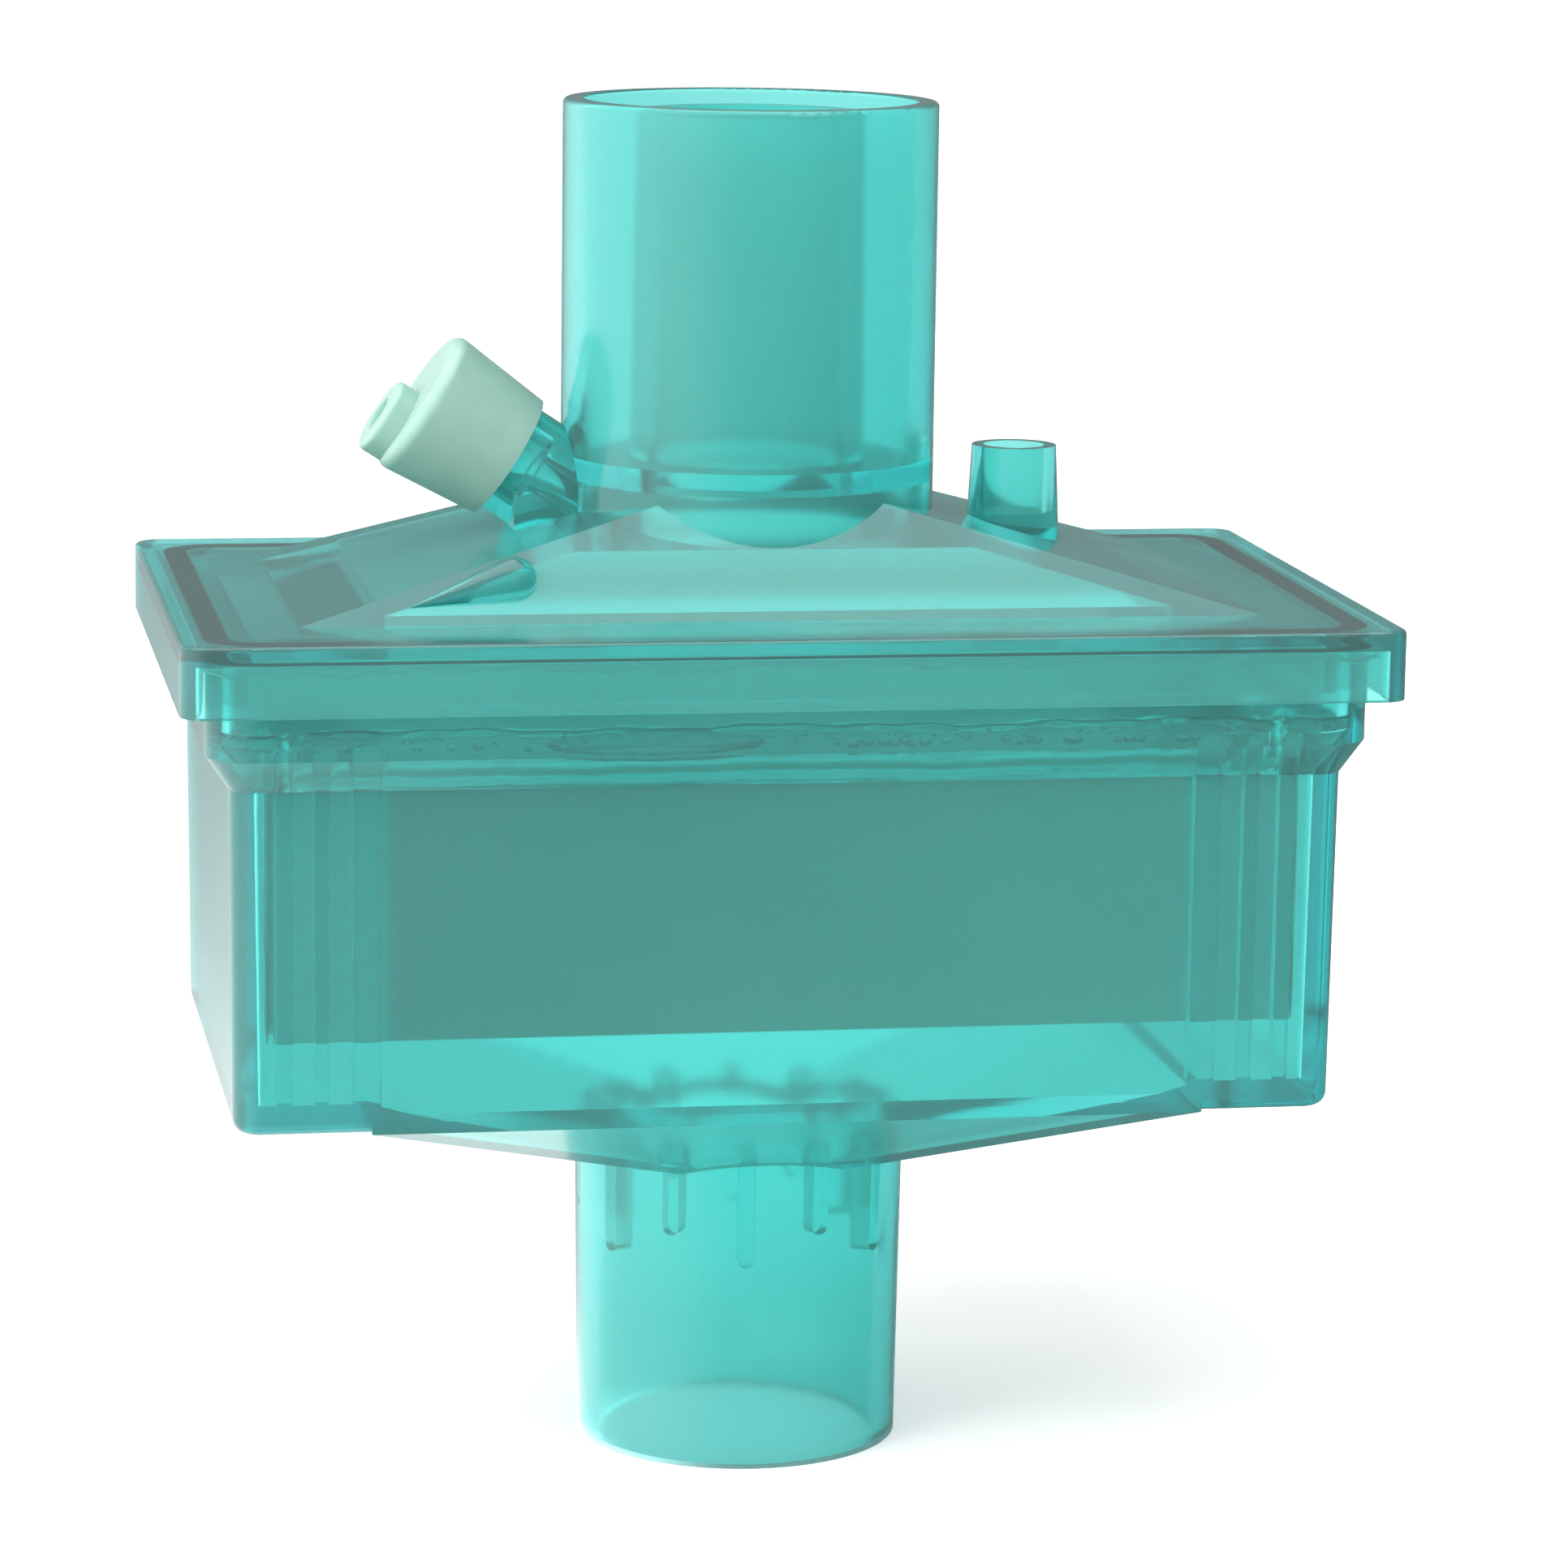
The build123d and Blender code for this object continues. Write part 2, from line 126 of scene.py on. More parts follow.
# %% [markdown]
# A ray that crosses the filter meets many faces of clear plastic. Where the renderer stops such a ray early
# it paints black, so the number of bounces is raised above the usual twelve. Sixteen are enough here:
# twenty-four gave the same picture. Mirror and matt rays are stopped sooner.

# %% Light bounces for clear plastic
CLEAR_WALL_BOUNCES = 16
MIRROR_BOUNCES = 4
MATT_BOUNCES = 2
bpy.context.scene.cycles.max_bounces = CLEAR_WALL_BOUNCES
bpy.context.scene.cycles.transmission_bounces = CLEAR_WALL_BOUNCES
bpy.context.scene.cycles.glossy_bounces = MIRROR_BOUNCES
bpy.context.scene.cycles.diffuse_bounces = MATT_BOUNCES
print("bounces:", CLEAR_WALL_BOUNCES, "clear,", MIRROR_BOUNCES, "mirror,", MATT_BOUNCES, "matt")

# %% [markdown]
# The filter stands on a plain white floor, a matt paper that takes the object's shadow. It could be made
# white with stronger lamps, but those would bleach the plastic. So a little glow is added only for rays
# that come straight from the viewer or through clear plastic. Upright walls mirror the floor, because the
# camera looks down, so mirror rays see a floor of their own: bright on the left, like a reflector card
# beside the object, and dim elsewhere. That is what a photographer's studio gives clear plastic.

# %% Floor
FLOOR_REACH = 6.0
FLOOR_GLOW = 0.44
FLOOR_MIRROR_DIM = 0.20
MIRROR_CARD = 2.2
CARD_SIDE = (-0.99, 0.10, 0.0)
CARD_EDGES = (0.05, 1.0)


def make_floor():
    """A large flat square at the height on which the object stands."""
    corners = [(-FLOOR_REACH, -FLOOR_REACH, 0), (FLOOR_REACH, -FLOOR_REACH, 0),
               (FLOOR_REACH, FLOOR_REACH, 0), (-FLOOR_REACH, FLOOR_REACH, 0)]
    mesh = bpy.data.meshes.new("floor")
    mesh.from_pydata(corners, [], [(0, 1, 2, 3)])
    piece = bpy.data.objects.new("floor", mesh)
    bpy.context.scene.collection.objects.link(piece)
    return piece


def seen_clearly(tree, path):
    """One where a ray comes straight from the camera or through clear plastic, otherwise zero."""
    return add_node(tree, "ShaderNodeMath", operation="MAXIMUM",
                    links={0: (path, "Is Camera Ray"), 1: (path, "Is Transmission Ray")})


def seen_in_mirror(tree, path):
    """One where a ray comes from a mirror reflection on an outer face, otherwise zero."""
    return add_node(tree, "ShaderNodeMath", operation="SUBTRACT", use_clamp=True,
                    links={0: (path, "Is Glossy Ray"), 1: (path, "Is Transmission Ray")})


def towards_card(tree, heading, output, low, high):
    """A value that rises smoothly from low to high as a heading turns to the reflector card's side: the
    heading's length along that side, for a heading of length one."""
    flat = add_node(tree, "ShaderNodeVectorMath", links={0: (heading, output)}, operation="NORMALIZE")
    along = add_node(tree, "ShaderNodeVectorMath", {1: CARD_SIDE}, {0: (flat, 0)}, operation="DOT_PRODUCT")
    return add_node(tree, "ShaderNodeMapRange",
                    {"From Min": CARD_EDGES[0], "From Max": CARD_EDGES[1], "To Min": low, "To Max": high},
                    {"Value": (along, "Value")}, interpolation_type="SMOOTHSTEP")


def make_floor_paper():
    """White paper with a glow for clear rays, and the studio's card for mirror rays."""
    material, tree = new_material("matt_white_backdrop_paper")
    matt = add_node(tree, "ShaderNodeBsdfPrincipled", {"Base Color": linear("F4F4F4"), "Roughness": 0.9})
    path = add_node(tree, "ShaderNodeLightPath")
    place = add_node(tree, "ShaderNodeTexCoord")
    strength = add_node(tree, "ShaderNodeMath", {1: FLOOR_GLOW}, {0: (seen_clearly(tree, path), 0)},
                        operation="MULTIPLY")
    glow = add_node(tree, "ShaderNodeEmission", {"Color": (1, 1, 1, 1)}, {"Strength": (strength, 0)})
    card = towards_card(tree, place, "Object", FLOOR_MIRROR_DIM, MIRROR_CARD)
    studio = add_node(tree, "ShaderNodeEmission", {"Color": (1, 1, 1, 1)}, {"Strength": (card, 0)})
    both = add_node(tree, "ShaderNodeAddShader", links={0: (matt, 0), 1: (glow, 0)})
    mirror = seen_in_mirror(tree, path)
    shown = add_node(tree, "ShaderNodeMixShader", links={0: (mirror, 0), 1: (both, 0), 2: (studio, 0)})
    add_node(tree, "ShaderNodeOutputMaterial", links={"Surface": (shown, 0)})
    return material


floor = make_floor()
floor_paper = make_floor_paper()
floor_paper.cycles.emission_sampling = "NONE"
floor.data.materials.append(floor_paper)
print("floor", 2 * FLOOR_REACH, "m wide")

# %% [markdown]
# Clear plastic shows mostly what stands round it. An image of a studio could surround it, but four soft
# levels do as well: white behind the object, a little less for rays that pass through the plastic, so that
# thin walls keep their colour, an even level for matt surfaces, and for mirror rays a sky that is bright on
# the left and overhead and dim elsewhere. The left side draws the broad highlight down each port, and the
# light overhead whitens the roof's slopes. A small lamp would draw a hard strip there instead. The world is
# nearly even, and the floor glows only for rays that see it, so neither is sampled as a lamp: that took an
# eighth of the render's time and changed nothing that shows.

# %% World
EVEN_LEVEL = 0.60
SKY_MIRROR_DIM = 0.24
THROUGH_LEVEL = 0.88
MIRROR_TOP = 4.0
TOP_EDGES = (0.72, 0.95)


def make_world():
    """A white studio whose brightness depends on what kind of ray looks at it."""
    world = bpy.data.worlds.new("studio")
    world.use_nodes = True
    tree = world.node_tree
    tree.nodes.clear()
    path = add_node(tree, "ShaderNodeLightPath")
    heading = add_node(tree, "ShaderNodeTexCoord")
    side = towards_card(tree, heading, "Generated", SKY_MIRROR_DIM, MIRROR_CARD)
    parts = add_node(tree, "ShaderNodeSeparateXYZ", links={0: (heading, "Generated")})
    top = add_node(tree, "ShaderNodeMapRange",
                   {"From Min": TOP_EDGES[0], "From Max": TOP_EDGES[1], "To Max": MIRROR_TOP},
                   {"Value": (parts, "Z")}, interpolation_type="SMOOTHSTEP")
    sky = add_node(tree, "ShaderNodeMath", links={0: (side, 0), 1: (top, 0)}, operation="ADD")
    even = add_node(tree, "ShaderNodeBackground", {"Color": (1, 1, 1, 1), "Strength": EVEN_LEVEL})
    level = add_node(tree, "ShaderNodeMapRange", {"To Min": 1.0, "To Max": THROUGH_LEVEL},
                     {"Value": (path, "Is Transmission Ray")})
    white = add_node(tree, "ShaderNodeBackground", {"Color": (1, 1, 1, 1)}, {"Strength": (level, 0)})
    shaped = add_node(tree, "ShaderNodeBackground", {"Color": (1, 1, 1, 1)}, {"Strength": (sky, 0)})
    clear = seen_clearly(tree, path)
    mirror = seen_in_mirror(tree, path)
    unmirrored = add_node(tree, "ShaderNodeMixShader", links={0: (clear, 0), 1: (even, 0), 2: (white, 0)})
    shown = add_node(tree, "ShaderNodeMixShader", links={0: (mirror, 0), 1: (unmirrored, 0), 2: (shaped, 0)})
    add_node(tree, "ShaderNodeOutputWorld", links={"Surface": (shown, 0)})
    return world


world = make_world()
world.cycles.sampling_method = "NONE"
bpy.context.scene.world = world
print("world levels:", EVEN_LEVEL, THROUGH_LEVEL, SKY_MIRROR_DIM, MIRROR_CARD, MIRROR_TOP)

# %% [markdown]
# Two large soft lamps shape the matt surfaces and cast the soft shadow: a key from the upper left and a
# weak one from above. They are hidden from mirror reflections and from rays through the plastic, where the
# world already does the work.

# %% Lamps


def area_lamp(name, place, aim, width, height, power):
    """A rectangular soft lamp at a place in metres, turned towards a point."""
    data = bpy.data.lights.new(name, "AREA")
    data.shape = "RECTANGLE"
    data.size = width
    data.size_y = height
    data.energy = power
    lamp = bpy.data.objects.new(name, data)
    lamp.location = place
    lamp.rotation_euler = (Vector(aim) - Vector(place)).to_track_quat("-Z", "Y").to_euler()
    lamp.visible_glossy = False
    lamp.visible_transmission = False
    bpy.context.scene.collection.objects.link(lamp)
    return lamp


MIDDLE_OF_OBJECT = (0, 0, 0.05)
area_lamp("key_softbox", (-0.60, -0.30, 0.45), MIDDLE_OF_OBJECT, width=0.55, height=0.45, power=4.5)
area_lamp("top_softbox", (-0.10, -0.35, 0.80), MIDDLE_OF_OBJECT, width=0.60, height=0.60, power=3.0)

# %% [markdown]
# The new pieces are surfaces worked out on grids. A grid has rows and columns of points; where its last
# row or column meets the first again, it closes on itself like a ring. Two helpers do the common work: one
# lists the grid's four-sided faces, and one puts points and faces into a mesh and turns all faces outwards,
# which it tests with the enclosed volume.

# %% Helpers for grids


def grid_faces(rows, columns, ring_of_rows, ring_of_columns, first=0):
    """The quads of a grid of points that is stored row by row: each joins a point to its next column,
    to both in the next row, and back. A ring's last row or column also joins its first."""
    row = np.arange(rows if ring_of_rows else rows - 1)[:, None]
    column = np.arange(columns if ring_of_columns else columns - 1)[None, :]
    next_row = (row + 1) % rows
    next_column = (column + 1) % columns
    corners = [row * columns + column, row * columns + next_column,
               next_row * columns + next_column, next_row * columns + column]
    return np.stack(corners, axis=-1).reshape(-1, 4) + first


def signed_volume(points, faces):
    """The volume that flat faces enclose: a sixth of each triangle fan's corner products, added up. It is
    negative where the faces point inwards."""
    total = 0.0
    for second in range(1, faces.shape[1] - 1):
        a, b, c = points[faces[:, 0]], points[faces[:, second]], points[faces[:, second + 1]]
        total += np.einsum("ij,ij->i", a, np.cross(b, c)).sum() / 6
    return total


def make_piece(name, points, face_groups, smooth=True):
    """A mesh object from an array of points in millimetres and arrays of faces, riding on the body."""
    volume = sum(signed_volume(points, faces) for faces in face_groups)
    faces = [face for group in face_groups for face in (group if volume > 0 else group[:, ::-1]).tolist()]
    mesh = bpy.data.meshes.new(name)
    mesh.from_pydata((points * MM).tolist(), [], faces)
    mesh.polygons.foreach_set("use_smooth", np.full(len(faces), smooth))
    mesh.update()
    piece = bpy.data.objects.new(name, mesh)
    bpy.context.scene.collection.objects.link(piece)
    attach(piece, "filter_body")
    print(name, "faces", len(faces), "volume", round(abs(volume), 1), "mm3")
    return piece


def box_in_mm(node):
    """A node's lowest and highest corners at rest, in millimetres."""
    low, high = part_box(node)
    return np.array(low) / MM, np.array(high) / MM


# %% [markdown]
# Several pieces follow the box's rectangle: the adhesive, its bubbles and the weld's flash. One outline
# serves them all. It is a rectangle with round corners whose points keep their places along it, whatever
# its size, so that rings of different sizes can be joined point to point.

# %% The outline that the rings follow
LONG_SIDE_POINTS = 360
SHORT_SIDE_POINTS = 190
CORNER_POINTS = 10


def outline_course():
    """How each point of the outline is steered: which way it goes from the centre along X and Y, from -1
    to 1, and the angle of its side or corner. Straight sides keep their angle and corners turn it."""
    long_way = np.linspace(-1, 1, LONG_SIDE_POINTS)
    short_way = np.linspace(-1, 1, SHORT_SIDE_POINTS)
    bend = np.linspace(0, math.pi / 2, CORNER_POINTS + 2)[1:-1]
    steer_x, steer_y, angle = [], [], []
    sides = [(long_way, -1, -math.pi / 2), (1, short_way, 0.0), (-long_way, 1, math.pi / 2),
             (-1, -short_way, math.pi)]
    corners = [(1, -1, -math.pi / 2), (1, 1, 0.0), (-1, 1, math.pi / 2), (-1, -1, math.pi)]
    for (along, across, side_angle), (corner_x, corner_y, start) in zip(sides, corners):
        count = np.size(along) if np.size(along) > 1 else np.size(across)
        steer_x += [np.broadcast_to(along, count), np.full(CORNER_POINTS, float(corner_x))]
        steer_y += [np.broadcast_to(across, count), np.full(CORNER_POINTS, float(corner_y))]
        angle += [np.full(count, side_angle), start + bend]
    return np.concatenate(steer_x), np.concatenate(steer_y), np.concatenate(angle)


COURSE = outline_course()
COURSE_POINTS = len(COURSE[0])
AROUND = np.arange(COURSE_POINTS) * 2 * math.pi / COURSE_POINTS


def round_rectangle(half_x, half_y, radius):
    """The outline's X and Y: each point goes its steered share of the way to the corner's centre, and then
    the radius further at its angle. Columns of sizes give one outline a row."""
    steer_x, steer_y, angle = COURSE
    x = steer_x * (half_x - radius) + radius * np.cos(angle)
    y = steer_y * (half_y - radius) + radius * np.sin(angle)
    return x, y


def waver(seed, counts, sizes):
    """A height that wanders along the outline: sine waves that go round a whole number of times, each with
    its own size and a start drawn from the seed."""
    draw = np.random.default_rng(seed)
    starts = draw.uniform(0, 2 * math.pi, len(counts))
    waves = [size * np.sin(count * AROUND + start) for count, size, start in zip(counts, sizes, starts)]
    return np.sum(waves, axis=0)


print("outline of", COURSE_POINTS, "points")

# %% [markdown]
# The poured adhesive is what seals the paper's rim to the box. It was poured as a liquid: it fills the step
# in the wall, climbs a little where it meets plastic, and its inner edge wanders where it ran out over the
# folds. It could be a swept tube, but its section is different on its two sides, so its surface is a grid:
# the rows go round the section, and the columns follow the outline. Each row lies a share of the way from
# the inner edge to the wall, at a height of its own. Glue wets the wall it touches. A thin layer of air left
# between them would turn the leaning wall into a mirror, so the glue laps a few hundredths of a millimetre
# into the plastic, as a liquid does in a rendered glass.

# %% Poured adhesive: sizes
seal_low, seal_high = box_in_mm("seal_bead")
WALL_LEAN_LOW, WALL_LEAN_HIGH = 49.389, 51.73
WALL_SPREAD = 1.65
FOOT_CORNER = 0.4
INNER_EDGE_HALF = (32.5, 17.2)
INNER_EDGE_CORNER = 1.8
RIB_PLACES = ((27.5, 1.8), (30.4, 0.9), (32.8, 1.0))
RIB_FACE, RIB_TOP = 18.34, 51.55
RIB_CLEARANCE = 0.12
RIB_FACE_TAPER = 0.3
WETTING = 0.07
FOOT_CLEARANCE = 0.01
MEAN_SAG = 0.25
MEAN_WANDER = 0.33
CLIMB = 0.2
WALL_ROWS, TOP_ROWS, FOOT_ROWS = 14, 12, 4
print("adhesive from", seal_low.round(2), "to", seal_high.round(2))

# %% Poured adhesive: its rows


def wall_outline(height):
    """The box's inner wall at a height: its foot, spread outwards as the wall leans out."""
    spread = WALL_SPREAD * np.clip((height - WALL_LEAN_LOW) / (WALL_LEAN_HIGH - WALL_LEAN_LOW), 0, 1)
    reach = WETTING - WALL_SPREAD + spread
    return round_rectangle(seal_high[0] + reach, seal_high[1] + reach, FOOT_CORNER + spread)


def beside_ribs(x, y, height, share):
    """Pulls points of the long walls back to the ribs' faces, where they lie behind a rib and below its
    top: a wall rib stands clear of the adhesive. A smaller share of the way keeps them a little apart."""
    distance = np.min([np.abs(np.abs(x) - place) - width / 2 for place, width in RIB_PLACES], axis=0)
    face = RIB_FACE - RIB_FACE_TAPER * (1 - share)
    behind = (distance < RIB_CLEARANCE) & (height < RIB_TOP) & (np.abs(y) > face)
    return np.where(behind, np.sign(y) * face, y)


def seal_surface():
    """The adhesive's grid: up the wall, over the top to the inner edge, and back along the foot. The top
    sags by a squared sine between the wall and the inner edge, and drops to the foot at that edge as a
    rounded corner does, by one less the root of one less a high power. Sag, climb and edge all wander."""
    foot, top = seal_low[2] + FOOT_CLEARANCE, seal_high[2]
    sag = MEAN_SAG + waver(11, (5, 13, 29, 61), (0.07, 0.06, 0.05, 0.03))
    wander = MEAN_WANDER + waver(12, (7, 19, 41, 83), (0.12, 0.09, 0.06, 0.04))
    rise = np.linspace(0, 1, WALL_ROWS)[:, None]
    over = np.linspace(0, 1, TOP_ROWS + 1)[1:, None]
    under = np.linspace(0, 1, FOOT_ROWS + 2)[1:-1, None]
    climb = np.clip(waver(13, (9, 23, 53), (0.1, 0.08, 0.05)), -CLIMB, CLIMB) - CLIMB
    shoulder = top + climb
    edge_drop = (shoulder - foot) * (1 - np.sqrt(1 - over ** 6))
    height = np.concatenate([foot + (shoulder - foot) * rise,
                             shoulder - sag * np.sin(math.pi * over) ** 2 - edge_drop,
                             foot + 0 * under * AROUND])
    share = np.concatenate([1 + 0 * rise * AROUND, 1 - over + 0 * AROUND, under + 0 * AROUND])
    wall_x, wall_y = wall_outline(height)
    edge_x, edge_y = round_rectangle(INNER_EDGE_HALF[0] + wander, INNER_EDGE_HALF[1] + wander,
                                     INNER_EDGE_CORNER)
    x = edge_x + (wall_x - edge_x) * share
    y = edge_y + (wall_y - edge_y) * share
    return np.stack([x, beside_ribs(x, y, height, share), height], axis=-1)


seal_grid = seal_surface()
seal_rows = len(seal_grid)
poured_seal = make_piece("poured_seal", seal_grid.reshape(-1, 3),
                         [grid_faces(seal_rows, COURSE_POINTS, True, True)])
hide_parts("seal_bead")

# %% [markdown]
# Bubbles rose in the adhesive before it set and stopped under its skin, mostly along the leaning wall. There
# are hundreds, so each is a ball of few faces, and all of them are one piece. One ball is worked out from
# rings of points and two poles, and arrays of places and sizes copy it.

# %% Bubbles: one small ball
BALL_RINGS = 5
BALL_COLUMNS = 8


def unit_ball():
    """A ball of radius one: rings at even angles between two poles, closed by triangles at each pole."""
    tilt = np.linspace(0, math.pi, BALL_RINGS + 2)[1:-1, None]
    turn_about = np.linspace(0, 2 * math.pi, BALL_COLUMNS, endpoint=False)[None, :]
    rings = np.stack([np.sin(tilt) * np.cos(turn_about), np.sin(tilt) * np.sin(turn_about),
                      np.cos(tilt) + 0 * turn_about], axis=-1).reshape(-1, 3)
    points = np.vstack([rings, [[0, 0, 1], [0, 0, -1]]])
    column = np.arange(BALL_COLUMNS)
    after = (column + 1) % BALL_COLUMNS
    last = (BALL_RINGS - 1) * BALL_COLUMNS
    top = np.stack([after, column, np.full(BALL_COLUMNS, len(rings))], axis=-1)
    bottom = np.stack([last + column, last + after, np.full(BALL_COLUMNS, len(rings) + 1)], axis=-1)
    return points, grid_faces(BALL_RINGS, BALL_COLUMNS, False, True), np.vstack([top, bottom])


ball_points, ball_quads, ball_tips = unit_ball()
print("one bubble has", len(ball_quads) + len(ball_tips), "faces")

# %% [markdown]
# The photograph shows larger bubbles in a row at the leaning wall, finer ones above them, and one long flat
# pocket of air at the front. The pocket's place is given, and each bubble's place along the outline is
# drawn evenly all round, because the front shows them all along and the back is taken to be like it.

# %% Bubbles: their places and sizes
LARGE_BUBBLES = 150
FINE_BUBBLES = 260
SKIN_MARGIN = 0.04
DEPTH_PER_RADIUS = 1.3
STRETCHES = ((0.0, 0.5), (0.0, 0.2), (-0.25, 0.0))
POCKET_CENTRE = (-9.2, -20.6, 51.65)
POCKET_SIZE = (7.4, 0.40, 0.80)


def place_on_wall(index, depth, height):
    """Where points of the outline come to, at a depth in millimetres behind the wall, on the way from the
    wall to the inner edge."""
    wall_x, wall_y = wall_outline(height[:, None])
    edge_x, edge_y = round_rectangle(*INNER_EDGE_HALF, INNER_EDGE_CORNER)
    row = np.arange(len(index))
    way_x, way_y = edge_x[index] - wall_x[row, index], edge_y[index] - wall_y[row, index]
    share = depth / np.hypot(way_x, way_y)
    return np.stack([wall_x[row, index] + way_x * share, wall_y[row, index] + way_y * share, height], axis=-1)


def bubble_set(seed, count, low, high, spread, least, most):
    """Centres and half sizes of a set of bubbles: each touches the glue's skin, or lies up to the spread
    deeper. Heights and radii are drawn between limits, small ones more often, by the square of a draw."""
    draw = np.random.default_rng(seed)
    index = draw.integers(0, COURSE_POINTS, count)
    radius = least + (most - least) * draw.uniform(0, 1, count) ** 2
    depth = WETTING + SKIN_MARGIN + DEPTH_PER_RADIUS * radius + draw.uniform(0, spread, count)
    centre = place_on_wall(index, depth, draw.uniform(low, high, count))
    stretch = 1 + np.stack([draw.uniform(*limits, count) for limits in STRETCHES], axis=-1)
    return centre, radius[:, None] * stretch


def balls_at(centres, sizes):
    """Copies of the ball: its points times each size, moved to each centre, with faces numbered on."""
    points = (ball_points[None] * sizes[:, None] + centres[:, None]).reshape(-1, 3)
    first = (np.arange(len(centres)) * len(ball_points))[:, None, None]
    return points, (ball_quads[None] + first).reshape(-1, 4), (ball_tips[None] + first).reshape(-1, 3)


large_centres, large_sizes = bubble_set(21, LARGE_BUBBLES, low=51.3, high=51.8, spread=0.1,
                                        least=0.22, most=0.50)
fine_centres, fine_sizes = bubble_set(22, FINE_BUBBLES, low=51.7, high=52.3, spread=0.3,
                                      least=0.08, most=0.22)
centres = np.vstack([large_centres, fine_centres, [POCKET_CENTRE]])
sizes = np.vstack([large_sizes, fine_sizes, [POCKET_SIZE]])
bubble_points, bubble_quads, bubble_tips = balls_at(centres, sizes)
seal_bubbles = make_piece("seal_bubbles", bubble_points, [bubble_quads, bubble_tips])

# %% [markdown]
# The filter paper is one long sheet, folded to and fro like an accordion, and its last leg is the pale panel
# behind the front wall. Paper is made by drawing the fold's middle line as straight legs and half rings,
# and giving it its thickness on both sides. The real sheet isn't quite even, so each leg bows a little.

# %% Pleated filter paper
sheet_low, sheet_high = box_in_mm("filter_media")
PAPER_THICKNESS = 0.6
FOLDS = 24
LEG_POINTS = 9
BEND_POINTS = 7
PAPER_COLUMNS = 56
BOWS = (0.05, 0.03)
BOW_LENGTHS = (9, 3.7)


def fold_line():
    """The fold's middle line in Y and Z with its sideways direction: legs a fold apart, joined by half
    rings whose radius is half that distance, by turns above and below."""
    spacing = (sheet_high[1] - sheet_low[1] - PAPER_THICKNESS) / FOLDS
    radius = spacing / 2
    leg_low = sheet_low[2] + radius + PAPER_THICKNESS / 2
    leg_high = sheet_high[2] - radius - PAPER_THICKNESS / 2
    y, z, normal_y, normal_z, bow = [], [], [], [], []
    for index in range(FOLDS + 1):
        place = sheet_low[1] + PAPER_THICKNESS / 2 + index * spacing
        start = sheet_low[2] if index == 0 else leg_low
        end = sheet_low[2] if index == FOLDS else leg_low
        upwards = index % 2 == 0
        first, last = (start, leg_high) if upwards else (leg_high, end)
        side = -1.0 if upwards else 1.0
        y.append(np.full(LEG_POINTS, place))
        z.append(np.linspace(first, last, LEG_POINTS))
        normal_y.append(np.full(LEG_POINTS, side))
        normal_z.append(np.zeros(LEG_POINTS))
        bow.append(np.sin(np.linspace(0, math.pi, LEG_POINTS)) ** 2)
        if index < FOLDS:
            swing = np.linspace(math.pi, 0, BEND_POINTS + 2)[1:-1]
            level, sense = (leg_high, 1) if upwards else (leg_low, -1)
            y.append(place + radius + radius * np.cos(swing))
            z.append(level + sense * radius * np.sin(swing))
            normal_y.append(sense * np.cos(swing))
            normal_z.append(np.sin(swing))
            bow.append(np.zeros(BEND_POINTS))
    return [np.concatenate(values) for values in (y, z, normal_y, normal_z, bow)]


def paper_surface():
    """The paper's grid: down one face of the sheet and back up the other, each half a thickness from the
    middle line, at every column along X. Legs bow by a wave that changes from leg to leg."""
    y, z, normal_y, normal_z, bow = fold_line()
    x = np.linspace(sheet_low[0], sheet_high[0], PAPER_COLUMNS)[None, :]
    draw = np.random.default_rng(31)
    legs = np.linspace(0, FOLDS, len(y))[:, None]
    starts = draw.uniform(0, 2 * math.pi, 2)
    long_wave = BOWS[0] * np.sin(x / BOW_LENGTHS[0] + starts[0] + legs)
    short_wave = BOWS[1] * np.sin(x / BOW_LENGTHS[1] + starts[1] - 2 * legs)
    bowed = bow[:, None] * (long_wave + short_wave)
    faces = []
    for side in (0.5, -0.5):
        offset = side * PAPER_THICKNESS
        face_y = y[:, None] + normal_y[:, None] * offset + bowed
        face_z = z[:, None] + normal_z[:, None] * offset + 0 * x
        faces.append(np.stack([x + 0 * face_y, face_y, face_z], axis=-1))
    return np.concatenate([faces[0], faces[1][::-1]])


paper_grid = paper_surface()
paper_rows = len(paper_grid)


def paper_end_faces(column):
    """The faces that close one end of the sheet: each joins a step of one face to the same step of the
    other, since both faces have the same steps."""
    step = np.arange(paper_rows // 2 - 1)
    across = paper_rows - 1 - step
    corners = [step, step + 1, across - 1, across]
    end = np.stack([corner * PAPER_COLUMNS + column for corner in corners], axis=-1)
    return end[:, ::-1] if column else end


paper_sides = grid_faces(paper_rows, PAPER_COLUMNS, True, False)
paper_ends = np.vstack([paper_end_faces(0), paper_end_faces(PAPER_COLUMNS - 1)])
pleated_paper = make_piece("pleated_paper", paper_grid.reshape(-1, 3), [np.vstack([paper_sides, paper_ends])])
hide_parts("filter_media")

# %% [markdown]
# The sheet's two open ends are closed with a film of the same adhesive, spread by hand, so its free face is
# uneven and its rim is soft. It could be a rounded box, but that would be too even. It is two copies of
# one grid, a thickness apart and joined round their rims: a high power of the way from the middle keeps
# that thickness nearly even and takes it away only at the rim, and three slow waves daub it.

# %% Glued ends of the sheet
END_ROWS, END_COLUMNS = 26, 60
RIM_POWERS = (30, 18)
RIM_SHARE, CROWN_SHARE, DAUB_SHARE = 0.12, 0.70, 0.16


